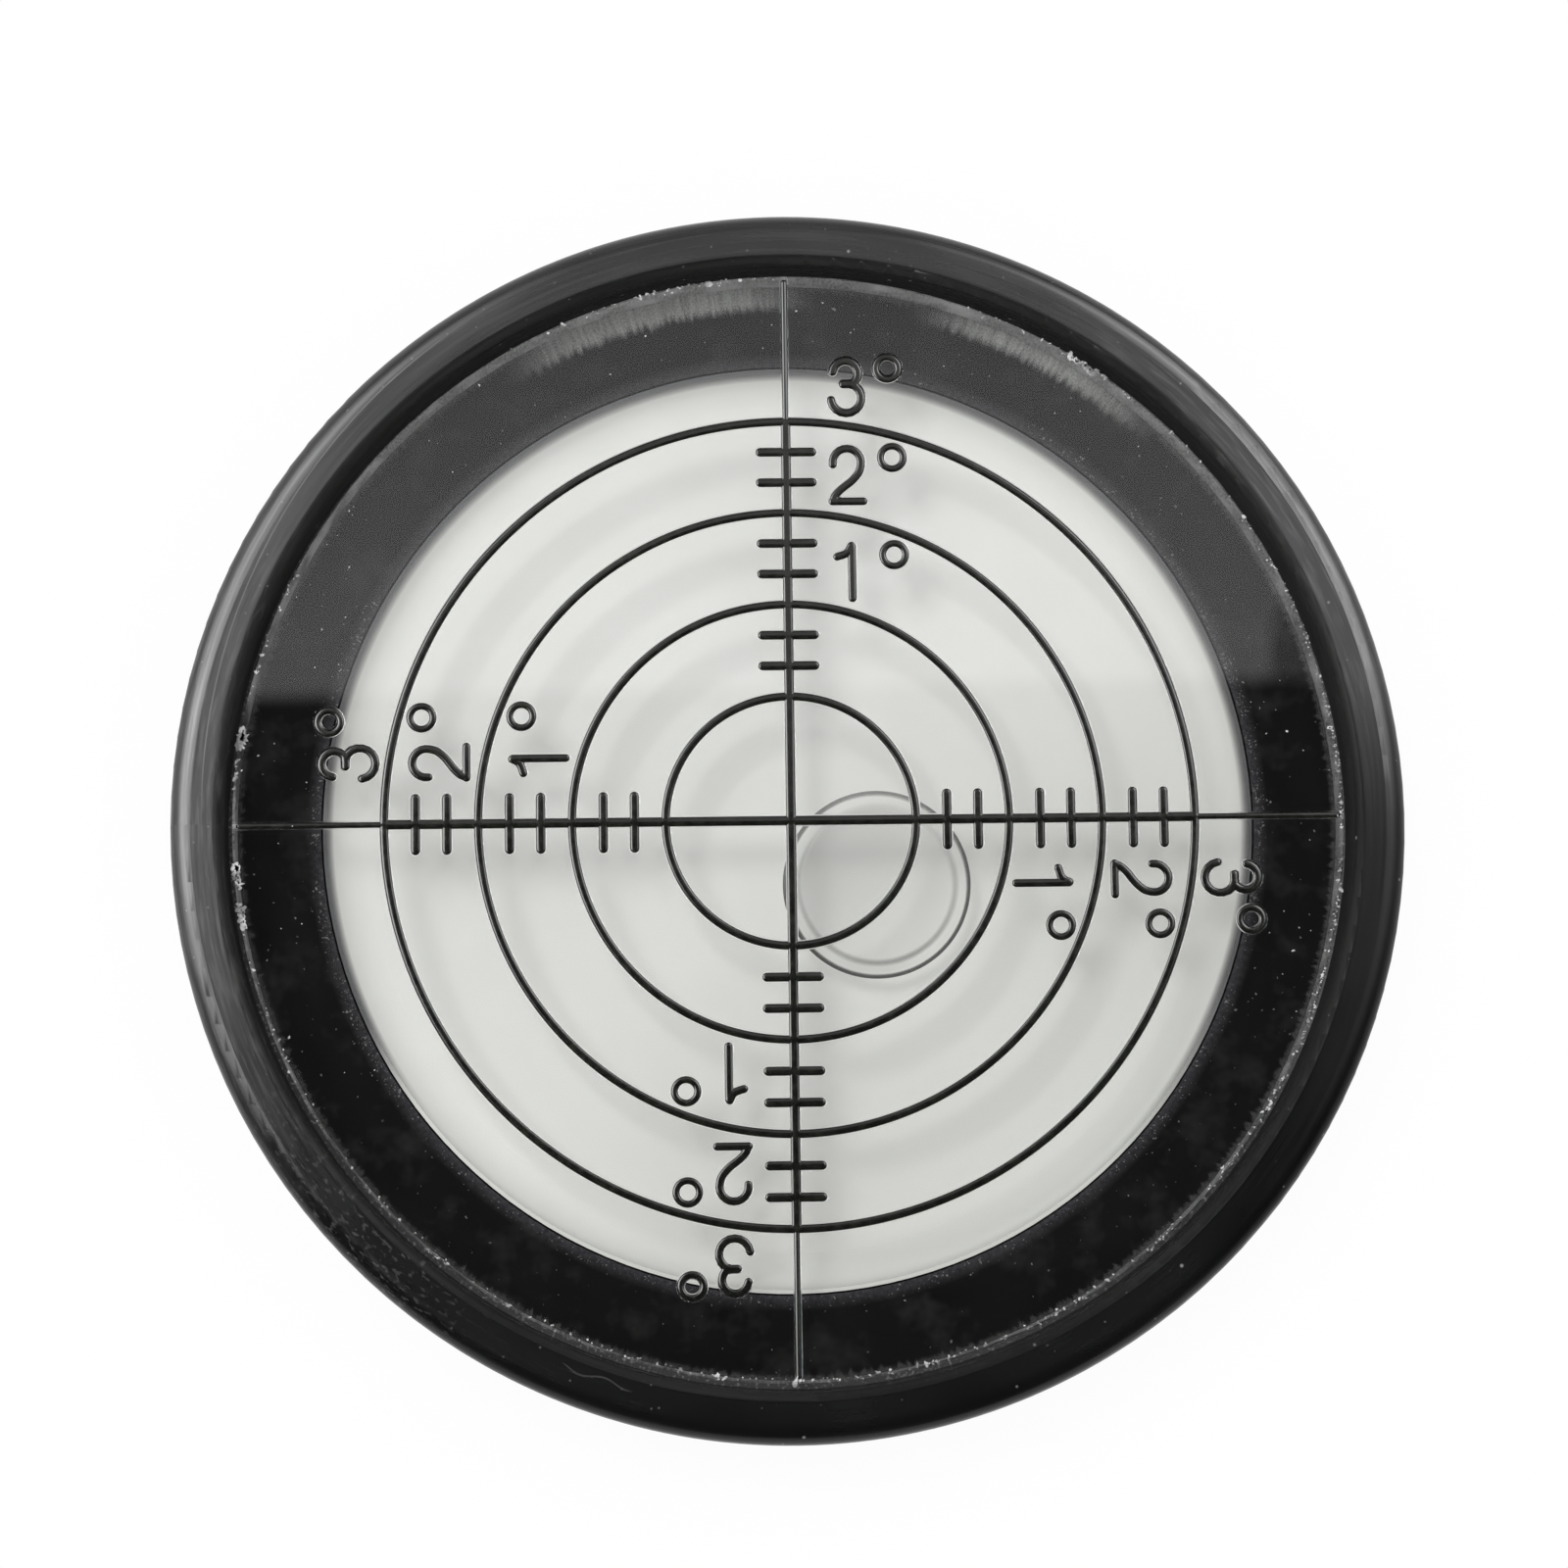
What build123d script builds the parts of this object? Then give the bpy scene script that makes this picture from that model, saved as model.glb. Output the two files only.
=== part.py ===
from build123d import *
from math import radians, sqrt, tan
import os

# Bullseye level, in millimetres: a sealed vial in a round moulded housing, read from above.
# The origin is the centre of the base, +Z points up through the lens, and +X runs along one
# line of the reticle.

# Heights, from the base up
floor_thickness = 2.6
disc_thickness = 1.2
chamber_depth = 2.2  # from the white disc up to the lens seat
disc_rim_gap = 0.1  # between the disc's raised rim and the lens seat
lens_thickness = 3.8  # at the flange
lip_height = 1.2  # how far the rim stands above the lens

# Widths, from the lens out and in
lens_diameter = 59.6
lens_clearance = 0.4  # between the lens and the bore, all round
rim_wall = 2.8
ledge_width = 4.9
disc_clearance = 0.1
disc_rim_wall = 0.2

# Edges
shoulder_radius = 1.2
lip_radius = 0.45
disc_rim_fillet = 1.9  # inside the disc, where its rim rises
foot_chamfer = 0.4
lens_chamfer = 0.25

# Cement between the lens and the bore
bead_height = 1.8

# Reticle on the lens
ring_spacing = 5.0  # how far the bubble travels for one degree of tilt
first_ring_radius = 6.7
degree_rings = 3
ring_line = 0.38
cross_line = 0.5  # inside the last ring
outer_line = 0.28  # from the last ring to the lens's edge
tick_line = 0.45
tick_length = 3.3
ticks_between_rings = 2
groove_depth = 0.25
ink_recess = 0.05

# Bubble
bubble_diameter = 10.2
bubble_thickness = 1.9
bubble_contact = 0.05  # how far it is drawn up into the lens, to meet the dome in a clean edge
bubble_x = 4.7
bubble_y = -3.3

# Filling port and its plug
port_diameter = 4.0
port_inset = 8.3  # from the wall of the well in to the port's centre
plug_head_diameter = 7.0
plug_head_thickness = 1.0
plug_head_clearance = 0.1
plug_recess = 0.3

# Places that follow from the sizes above
lens_radius = lens_diameter / 2
bore_radius = lens_radius + lens_clearance
housing_radius = bore_radius + rim_wall
well_radius = bore_radius - ledge_width
disc_radius = well_radius - disc_clearance
port_offset = well_radius - port_inset
disc_top = floor_thickness + disc_thickness
lens_seat = disc_top + chamber_depth
disc_rim_top = lens_seat - disc_rim_gap
lens_top = lens_seat + lens_thickness
housing_height = lens_top + lip_height
plug_pocket_depth = plug_recess + plug_head_thickness
plug_pocket_radius = plug_head_diameter / 2 + plug_head_clearance

# The dome over the liquid: one degree of tilt moves the bubble by one ring spacing.
dome_radius = ring_spacing / tan(radians(1))
dome_centre = lens_seat - sqrt(dome_radius**2 - well_radius**2)
dome_top = dome_centre + dome_radius
bubble_rise = Vector(bubble_x, bubble_y, sqrt(dome_radius**2 - bubble_x**2 - bubble_y**2))
bubble_place = Plane(origin=Vector(0, 0, dome_centre) + bubble_rise, z_dir=bubble_rise)

ring_radii = [first_ring_radius + degree * ring_spacing for degree in range(degree_rings + 1)]
tick_radii = [
    ring + ring_spacing * tick / (ticks_between_rings + 1)
    for ring in ring_radii[:-1]
    for tick in range(1, ticks_between_rings + 1)
]


def groove_section(line_width):
    """Draws a groove's section at the current place: square, and open on top."""
    Rectangle(line_width, groove_depth, align=(Align.CENTER, Align.MAX))


# Housing: a turned cup with a stepped bore, a ledge for the lens and a well for the liquid
with BuildPart() as housing:
    with BuildSketch(Plane.XZ):
        Polygon(
            (0, 0),
            (housing_radius, 0),
            (housing_radius, housing_height),
            (bore_radius, housing_height),
            (bore_radius, lens_seat),
            (well_radius, lens_seat),
            (well_radius, floor_thickness),
            (0, floor_thickness),
            align=None,
        )
    revolve(axis=Axis.Z)
    rim_edges = housing.edges().group_by(Axis.Z)[-1].sort_by(SortBy.RADIUS)
    fillet(rim_edges[-1], radius=shoulder_radius)
    rim_edges = housing.edges().group_by(Axis.Z)[-1].sort_by(SortBy.RADIUS)
    fillet(rim_edges[0], radius=lip_radius)
    chamfer(housing.edges().group_by(Axis.Z)[0], length=foot_chamfer)
    # The filling port passes through the floor, and its plug's head sits in a pocket below.
    with Locations(Plane.XY.rotated((180, 0, 0)) * Location((port_offset, 0, 0))):
        CounterBoreHole(
            radius=port_diameter / 2,
            counter_bore_radius=plug_pocket_radius,
            counter_bore_depth=plug_pocket_depth,
            depth=floor_thickness,
        )

# Backing disc: the white plate on the floor of the well, with a rim that lines the well's wall
with BuildPart() as backing_disc:
    with BuildSketch(Plane.XY.offset(floor_thickness)):
        Circle(disc_radius)
    extrude(amount=disc_rim_top - floor_thickness)
    with BuildSketch(Plane.XY.offset(disc_top)):
        Circle(disc_radius - disc_rim_wall)
    extrude(amount=disc_rim_top - disc_top, mode=Mode.SUBTRACT)
    dished_face = backing_disc.faces().filter_by_position(Axis.Z, disc_top, disc_top)
    fillet(dished_face.edges(), radius=disc_rim_fillet)

# Reticle grooves: the shape that is cut from the lens and then filled with ink
with BuildPart() as grooves:
    for ring_radius in ring_radii:
        with BuildSketch(Plane.XZ):
            with Locations((ring_radius, lens_top)):
                groove_section(ring_line)
        revolve(axis=Axis.Z)
    for across in (Plane.YZ, Plane.XZ):
        with BuildSketch(across):
            with Locations((0, lens_top)):
                groove_section(cross_line)
        extrude(amount=ring_radii[-1], both=True)
        with BuildSketch(across):
            with Locations((0, lens_top)):
                groove_section(outer_line)
        extrude(amount=lens_radius + lens_clearance, both=True)
    with BuildSketch(Plane.XY.offset(lens_top)):
        for tick_radius in tick_radii:
            with PolarLocations(tick_radius, 4):
                SlotOverall(tick_length, tick_line, rotation=90)
    extrude(amount=-groove_depth)

# Lens: clear, flat on top with the grooves in it, and hollowed below to the dome
with BuildPart() as lens:
    with BuildSketch(Plane.XY.offset(lens_seat)):
        Circle(lens_radius)
    extrude(amount=lens_thickness)
    chamfer(lens.edges().group_by(Axis.Z)[-1], length=lens_chamfer)
    with Locations((0, 0, dome_centre)):
        Sphere(dome_radius, rotation=(0, 90, 0), mode=Mode.SUBTRACT)
    add(grooves.part, mode=Mode.SUBTRACT)

# Reticle ink: fills the grooves to just under the lens's face and stops at its chamfer
with BuildPart() as reticle_ink:
    add(grooves.part)
    split(bisect_by=Plane.XY.offset(lens_top - ink_recess), keep=Keep.BOTTOM)
    with BuildSketch(Plane.XY.offset(lens_top)):
        Circle(lens_radius - lens_chamfer)
    extrude(amount=-groove_depth, mode=Mode.INTERSECT)

# Cement bead: seals the gap round the lens, down on the ledge
with BuildPart() as cement_bead:
    with BuildSketch(Plane.XY.offset(lens_seat)):
        Circle(bore_radius)
        Circle(lens_radius, mode=Mode.SUBTRACT)
    extrude(amount=bead_height)

# Bubble: a flat round pocket of air with a rounded edge, drawn hanging from the origin
with BuildPart() as bubble:
    with BuildSketch(Plane.XZ):
        with Locations((0, -bubble_thickness)):
            SlotOverall(
                bubble_diameter,
                bubble_thickness + bubble_contact,
                align=(Align.CENTER, Align.MIN),
            )
        split(bisect_by=Plane.YZ)
    revolve(axis=Axis.Z)

# Liquid: fills the disc's hollow and the dome, apart from the bubble, which floats up against the dome
with BuildPart() as liquid:
    with BuildSketch(Plane.XY.offset(disc_top)):
        Circle(disc_radius)
    extrude(amount=dome_top - disc_top)
    with Locations((0, 0, dome_centre)):
        Sphere(dome_radius, rotation=(0, 90, 0), mode=Mode.INTERSECT)
    add(backing_disc.part, mode=Mode.SUBTRACT)
    add(bubble_place.location * bubble.part, mode=Mode.SUBTRACT)

# Plug: a headed stopper pressed into the filling port from below
with BuildPart() as filling_plug:
    with BuildSketch(Plane.XY.offset(plug_recess)):
        with Locations((port_offset, 0)):
            Circle(plug_head_diameter / 2)
    extrude(amount=plug_head_thickness)
    with BuildSketch(Plane.XY.offset(plug_pocket_depth)):
        with Locations((port_offset, 0)):
            Circle(port_diameter / 2)
    extrude(amount=floor_thickness - plug_pocket_depth)

os.makedirs("parts", exist_ok=True)
for name, piece in {
    "housing": housing.part,
    "backing_disc": backing_disc.part,
    "liquid": liquid.part,
    "lens": lens.part,
    "reticle_ink": reticle_ink.part,
    "cement_bead": cement_bead.part,
    "filling_plug": filling_plug.part,
}.items():
    piece.label = name
    export_step(piece, f"parts/{name}.step")
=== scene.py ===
import math

import bmesh
import bpy
import numpy as np
from mathutils import Matrix, Vector
from mathutils.geometry import delaunay_2d_cdt


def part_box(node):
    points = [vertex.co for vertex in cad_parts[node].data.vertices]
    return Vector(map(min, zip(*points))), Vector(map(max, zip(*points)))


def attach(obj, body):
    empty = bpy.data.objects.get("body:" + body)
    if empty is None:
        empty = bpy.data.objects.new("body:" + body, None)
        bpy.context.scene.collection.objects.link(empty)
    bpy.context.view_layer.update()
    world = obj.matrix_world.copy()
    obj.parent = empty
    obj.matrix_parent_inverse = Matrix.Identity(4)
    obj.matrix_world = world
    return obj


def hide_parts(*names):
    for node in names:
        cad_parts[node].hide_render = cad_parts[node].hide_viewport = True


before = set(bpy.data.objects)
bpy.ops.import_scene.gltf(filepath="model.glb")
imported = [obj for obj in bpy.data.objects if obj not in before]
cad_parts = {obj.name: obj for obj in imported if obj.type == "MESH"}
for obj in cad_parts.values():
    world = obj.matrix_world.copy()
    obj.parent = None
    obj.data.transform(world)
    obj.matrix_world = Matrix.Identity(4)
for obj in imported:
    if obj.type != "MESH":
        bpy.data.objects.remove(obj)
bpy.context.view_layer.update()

# Bullseye level, dressed for its looks. Lengths are in metres where Blender or a material
# takes them, and the shapes are drawn in millimetres and scaled as they are built.
MM = 0.001

# Places taken from the frame, in millimetres
housing_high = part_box("housing")[1]
lens_low, lens_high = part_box("lens")
disc_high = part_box("backing_disc")[1]
liquid_low, liquid_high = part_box("liquid")
bead_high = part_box("cement_bead")[1]
HOUSING_RADIUS = housing_high.x / MM
HOUSING_TOP = housing_high.z / MM
LENS_RADIUS = lens_high.x / MM
LENS_TOP = lens_high.z / MM
LENS_SEAT = lens_low.z / MM
DISC_RADIUS = disc_high.x / MM
DISC_RIM_TOP = disc_high.z / MM
DISC_TOP = liquid_low.z / MM
LIQUID_RADIUS = liquid_high.x / MM
DOME_TOP = liquid_high.z / MM
BORE_RADIUS = bead_high.x / MM
RIM_AND_LEDGE = 7.7  # from the outer wall in to the well
WELL_RADIUS = HOUSING_RADIUS - RIM_AND_LEDGE
DISC_RIM_WALL = 0.2
DISC_RIM_FILLET = 1.9

# Reticle, in millimetres on the lens's face
RING_SPACING = 5.0
RING_RADII = [6.7, 11.7, 16.7, 21.7]
RING_LINE = 0.45
CROSS_LINE = 0.52
OUTER_LINE = 0.32
TICK_LINE = 0.5
TICK_LENGTH = 3.3
TICKS_BETWEEN_RINGS = 2
DIGIT_LINE = 0.44
DEGREE_RADIUS = 0.62
DEGREE_LINE = 0.38
# Centre of each numeral and of its degree sign, on the +Y arm
NUMERALS = {
    "1": ((3.24, 13.46), (5.77, 14.37)),
    "2": ((3.32, 18.76), (5.74, 19.7)),
    "3": ((3.32, 23.59), (5.55, 24.62)),
}
# The dome under the lens: one degree of tilt moves the bubble by one ring.
DOME_RADIUS = RING_SPACING / math.tan(math.radians(1))
DOME_CENTRE = DOME_TOP - DOME_RADIUS

# Lens, in millimetres
FILM = 0.02  # how far clear pieces keep from what they meet
LENS_CHAMFER = 0.25
LENS_WALL = LENS_RADIUS - FILM
FACE_RADIUS = LENS_RADIUS - LENS_CHAMFER + 0.1  # where the face ends, before its chips
FACE_STEPS = 1800  # points round the face's edge
FACE_SNAP = 2e-3  # how far past its edge a point still belongs to the face
LEVEL_SNAP = 1e-4  # how far off its height a point still counts as level
DOME_STEPS = 7
# Section of a groove in the lens: how far from the mark's edge, and how deep
GROOVE_SECTION = [(-0.02, -0.2), (-0.006, -0.06), (0.012, -0.022), (0.03, -0.006), (0.05, 0.0)]
GROOVE_SNAP = 0.003  # how near a groove's end the face is already flat
# Section of the ink: a low bead, highest in its middle
INK_SECTION = [(-0.2, -0.03), (-0.13, -0.036), (-0.08, -0.048), (-0.03, -0.07), (0.004, -0.1)]
INK_DEPTH = 0.25
INK_END = 0.15  # how far from the face's edge the cross lines' ink ends
FAR = 1e9

# The bubble, in millimetres
BUBBLE_RADIUS = 5.1
BUBBLE_THICKNESS = 1.9
BUBBLE_PLACE = (4.7, -3.3)
BUBBLE_FILM = 0.04

# Camera, fitted to the photograph: 1600 pixels wide and high
PHOTO_PIXELS = 1600
FOCAL_PIXELS = 3450
RETICLE_PIXEL = (807.24, 837.21)
RETICLE_TURN = math.radians(0.8)
CAMERA_OFFSET = (-5.96, -18.23, 179.8)
SENSOR = 36.0

# Stage, in metres
FLOOR_HALF = 1.5
FLOOR_DROP = 0.0001
SHADOW_REACH = 0.042  # from the middle, how far the floor still shows the object's shadow
PANEL_HEIGHT = 0.4  # above the lens
PANEL_HALF = 0.17
PANEL_START = -0.12
PANEL_END = 0.4
PANEL_EDGE = 0.0635  # where the bright part of the overhead panel starts
DARK_PANEL_HALF = 2.5
DARK_SHADE = 0.07


def new_object(name, mesh):
    """Links a mesh into the scene under a name."""
    made = bpy.data.objects.new(name, mesh)
    bpy.context.scene.collection.objects.link(made)
    return made


def mesh_from(name, points_mm, faces):
    """Makes a mesh from points in millimetres."""
    mesh = bpy.data.meshes.new(name)
    points = np.asarray(points_mm, float) * MM
    mesh.from_pydata(points.tolist(), [], faces)
    mesh.validate()
    return mesh


# Outlines of the reticle's marks
def spline(points, steps=6):
    """A smooth line through the given points."""
    ends = [points[0]] + list(points) + [points[-1]]
    line = []
    for i in range(1, len(ends) - 2):
        a, b, c, d = (np.array(p, float) for p in ends[i - 1:i + 3])
        for k in range(steps):
            t = k / steps
            line.append(
                0.5 * (2 * b + (c - a) * t + (2 * a - 5 * b + 4 * c - d) * t**2
                       + (3 * b - a - 3 * c + d) * t**3)
            )
    line.append(np.array(points[-1], float))
    return line


def arc(centre, radius_x, radius_y, start, end, steps=12):
    """Points along an elliptical arc, with its angles in degrees."""
    x, y = centre
    angles = np.radians(np.linspace(start, end, steps + 1))
    return [np.array((x + radius_x * math.cos(a), y + radius_y * math.sin(a))) for a in angles]


def digit_lines(digit):
    """The centre lines of a plain numeral, about its own centre."""
    if digit == "1":
        stem = [(0.25, 1.38), (0.25, -1.45)]
        flag = spline([(0.22, 1.42), (-0.02, 1.02), (-0.55, 0.82)])
        return [stem, flag]
    if digit == "2":
        bowl = arc((-0.03, 0.68), 0.77, 0.77, 188, -12)
        neck = [(0.60, 0.12), (0.22, -0.33), (-0.33, -0.76), (-0.66, -1.1), (-0.8, -1.42)]
        tail = spline([bowl[-1]] + neck)
        return [bowl + tail[1:], [(-0.84, -1.45), (0.84, -1.45)]]
    upper = arc((-0.04, 0.74), 0.7, 0.71, 172, -62)
    lower = arc((-0.02, -0.62), 0.83, 0.83, 72, -172)
    return [upper, lower, [(-0.18, 0.15), (0.25, 0.15)]]


def turned(points, quarter):
    """Points turned clockwise by a number of quarter turns."""
    a = -math.pi / 2 * quarter
    c, s = math.cos(a), math.sin(a)
    return [np.array((x * c - y * s, x * s + y * c)) for x, y in points]


def reticle_marks(reach):
    """Rings as (centre, radius, half width), and strokes as (points, half width).

    reach is where the cross lines end.
    """
    rings = [((0.0, 0.0), radius, RING_LINE / 2) for radius in RING_RADII]
    strokes = []
    last = RING_RADII[-1]
    half = (TICK_LENGTH - TICK_LINE) / 2
    for quarter in range(4):
        strokes.append((turned([(0, 0), (0, last)], quarter), CROSS_LINE / 2))
        strokes.append((turned([(0, last), (0, reach)], quarter), OUTER_LINE / 2))
        for ring in RING_RADII[:-1]:
            for tick in range(1, TICKS_BETWEEN_RINGS + 1):
                along = ring + RING_SPACING * tick / (TICKS_BETWEEN_RINGS + 1)
                strokes.append((turned([(-half, along), (half, along)], quarter), TICK_LINE / 2))
        for digit, (centre, degree) in NUMERALS.items():
            for line in digit_lines(digit):
                placed = [(x + centre[0], y + centre[1]) for x, y in line]
                strokes.append((turned(placed, quarter), DIGIT_LINE / 2))
            rings.append((tuple(turned([degree], quarter)[0]), DEGREE_RADIUS, DEGREE_LINE / 2))
    return rings, strokes


def mark_distance(points, rings, strokes):
    """How far each point lies outside the nearest mark's edge; inside a mark it is negative."""
    best = np.full(len(points), FAR)
    for centre, radius, half in rings:
        away = np.hypot(points[:, 0] - centre[0], points[:, 1] - centre[1])
        best = np.minimum(best, np.abs(away - radius) - half)
    margin = 1.0
    for line, half in strokes:
        line = np.asarray(line, float)
        low = line.min(0) - margin
        high = line.max(0) + margin
        near = np.all((points >= low) & (points <= high), axis=1)
        if not near.any():
            continue
        some = points[near]
        reach = np.full(len(some), FAR)
        for a, b in zip(line[:-1], line[1:]):
            ab = b - a
            t = np.clip(((some - a) @ ab) / (ab @ ab), 0, 1)
            gap = some - (a + t[:, None] * ab)
            reach = np.minimum(reach, np.hypot(gap[:, 0], gap[:, 1]))
        best[near] = np.minimum(best[near], reach - half)
    return best


def stroke_outline(line, half, cap_steps=8):
    """A closed outline round a stroke, with round ends."""
    line = [np.array(p, float) for p in line]
    ways = []
    for a, b in zip(line[:-1], line[1:]):
        way = b - a
        ways.append(way / np.hypot(*way))
    left, right = [], []
    for i, point in enumerate(line):
        before = ways[max(i - 1, 0)]
        after = ways[min(i, len(ways) - 1)]
        mean = before + after
        mean = mean / np.hypot(*mean)
        across = np.array((-mean[1], mean[0]))
        stretch = half / max(0.5, float(across @ np.array((-after[1], after[0]))))
        left.append(point + across * stretch)
        right.append(point - across * stretch)
    outline = list(left)
    for end, way, sign in ((line[-1], ways[-1], 1), (line[0], ways[0], -1)):
        across = np.array((-way[1], way[0])) * sign
        for k in range(1, cap_steps):
            a = math.pi * k / cap_steps
            outline.append(end + half * (across * math.cos(a) + way * sign * math.sin(a)))
        if sign == 1:
            outline.extend(reversed(right))
    return outline


def ring_outline(centre, radius):
    """A closed circle, with enough points for its size."""
    steps = 288 if radius > 3 else 48
    return arc(centre, radius, radius, 0, 360 * (1 - 1 / steps), steps - 1)


def triangulate(loops):
    """Fills the plane between closed loops, which may cross, with triangles that keep every edge."""
    points, edges = [], []
    for loop in loops:
        start = len(points)
        points.extend(Vector((float(p[0]), float(p[1]))) for p in loop)
        count = len(loop)
        edges.extend((start + i, start + (i + 1) % count) for i in range(count))
    nearest = 1e-5  # points closer than this are joined
    out = delaunay_2d_cdt(points, edges, [], 0, nearest, False)
    return np.array([(p.x, p.y) for p in out[0]]), [tuple(f) for f in out[2]]


def mark_loops(rings, strokes, levels):
    """Each mark's outline, set out from its edge by each level."""
    thinnest = 0.01
    loops = []
    for level in levels:
        for centre, radius, half in rings:
            loops.append(ring_outline(centre, radius + half + level))
            loops.append(ring_outline(centre, radius - half - level))
        for line, half in strokes:
            if half + level > thinnest:
                loops.append(stroke_outline(line, half + level))
    return loops


def section_height(section, distance):
    """Height of a section at each distance from a mark's edge."""
    across, heights = zip(*section)
    return np.interp(distance, across, heights)


# Help with meshes
def add_ring(points, loop, radius, height):
    """Adds a ring of points at the loop's own angles and returns their numbers."""
    start = len(points)
    for x, y, _ in loop:
        a = math.atan2(y, x)
        points.append((radius * math.cos(a), radius * math.sin(a), height))
    return list(range(start, len(points)))


def join_rings(faces, first, second):
    """Joins two rings of points with four-sided faces."""
    count = len(first)
    for i in range(count):
        j = (i + 1) % count
        faces.append((first[i], second[i], second[j], first[j]))


def border_edges(faces):
    """The edges of triangles that no other triangle shares, in the triangles' own direction."""
    edges = {}
    for a, b, c in faces:
        edges.update({(a, b): None, (b, c): None, (c, a): None})
    return [(a, b) for a, b in edges if (b, a) not in edges]


def sharpen(mesh, degrees):
    """Smooth faces, with the edges that turn by more than an angle kept sharp."""
    edit = bmesh.new()
    edit.from_mesh(mesh)
    edit.normal_update()
    for face in edit.faces:
        face.smooth = True
    limit = math.radians(degrees)
    for edge in edit.edges:
        if len(edge.link_faces) == 2:
            edge.smooth = edge.calc_face_angle(0) < limit
    edit.to_mesh(mesh)
    edit.free()


def keep_flats_sharp(mesh, face_count, height):
    """Keeps the lens's flat face flat, by a sharp edge wherever it meets a groove's edge."""
    points = np.zeros(len(mesh.vertices) * 3)
    mesh.vertices.foreach_get("co", points)
    level = np.abs(points.reshape(-1, 3)[:, 2] - height) < LEVEL_SNAP * MM
    beside = {}
    for polygon in mesh.polygons:
        flat = polygon.index < face_count and all(level[i] for i in polygon.vertices)
        for key in polygon.edge_keys:
            beside.setdefault(key, []).append(flat)
        if flat:
            polygon.use_smooth = False
    for edge in mesh.edges:
        sides = beside.get(tuple(sorted(edge.vertices)), [])
        if len(sides) == 2 and sides[0] != sides[1]:
            edge.use_edge_sharp = True


# The lens
def edge_chips():
    """How far the chamfer eats into the lens's face at each step round it: ragged, with some nicks."""
    rng = np.random.default_rng(7)
    angles = np.linspace(0, 2 * math.pi, FACE_STEPS, endpoint=False)
    chips = np.zeros(FACE_STEPS)
    for waves, height in ((5, 0.02), (11, 0.02), (23, 0.015), (47, 0.012), (90, 0.01)):
        chips += height * np.sin(waves * angles + rng.uniform(0, 2 * math.pi))
    torn_at, torn_reach, torn_height = math.radians(160), math.radians(17), 0.05
    torn = np.clip(1.3 - np.abs(angles - torn_at) / torn_reach, 0, 1)
    teeth = sum(np.sin(waves * angles + phase) for waves, phase in ((131, 0), (211, 1), (317, 2)))
    chips += torn * torn_height * teeth
    nicks = 260
    for _ in range(nicks):
        centre = rng.uniform(0, 2 * math.pi)
        width = rng.uniform(0.003, 0.006)
        depth = rng.uniform(0.0, 0.035) + 0.07 * rng.random()**6
        away = np.abs((angles - centre + math.pi) % (2 * math.pi) - math.pi)
        chips += depth * np.clip(1 - away / width, 0, 1)
    return np.clip(chips, -0.06, 0.3)


def lens_face():
    """The lens's engraved face, as points and triangles."""
    rings, strokes = reticle_marks(LENS_RADIUS + 1)
    edge = FACE_RADIUS - edge_chips()
    rim = []
    for i in range(FACE_STEPS):
        a = 2 * math.pi * i / FACE_STEPS
        rim.append((edge[i] * math.cos(a), edge[i] * math.sin(a)))
    levels = [across for across, _ in GROOVE_SECTION]
    flat, triangles = triangulate(mark_loops(rings, strokes, levels) + [rim])
    distance = mark_distance(flat, rings, strokes)
    depth = section_height(GROOVE_SECTION, distance)
    depth[distance > GROOVE_SECTION[-1][0] - GROOVE_SNAP] = 0.0
    bearing = np.arctan2(flat[:, 1], flat[:, 0]) % (2 * math.pi)
    bearings = np.linspace(0, 2 * math.pi, FACE_STEPS + 1)
    edge_there = np.interp(bearing, bearings, np.append(edge, edge[0]))
    inside = np.hypot(flat[:, 0], flat[:, 1]) <= edge_there + FACE_SNAP
    points = [(x, y, LENS_TOP + z) for (x, y), z in zip(flat, depth)]
    return points, [t for t in triangles if all(inside[i] for i in t)]


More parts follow.
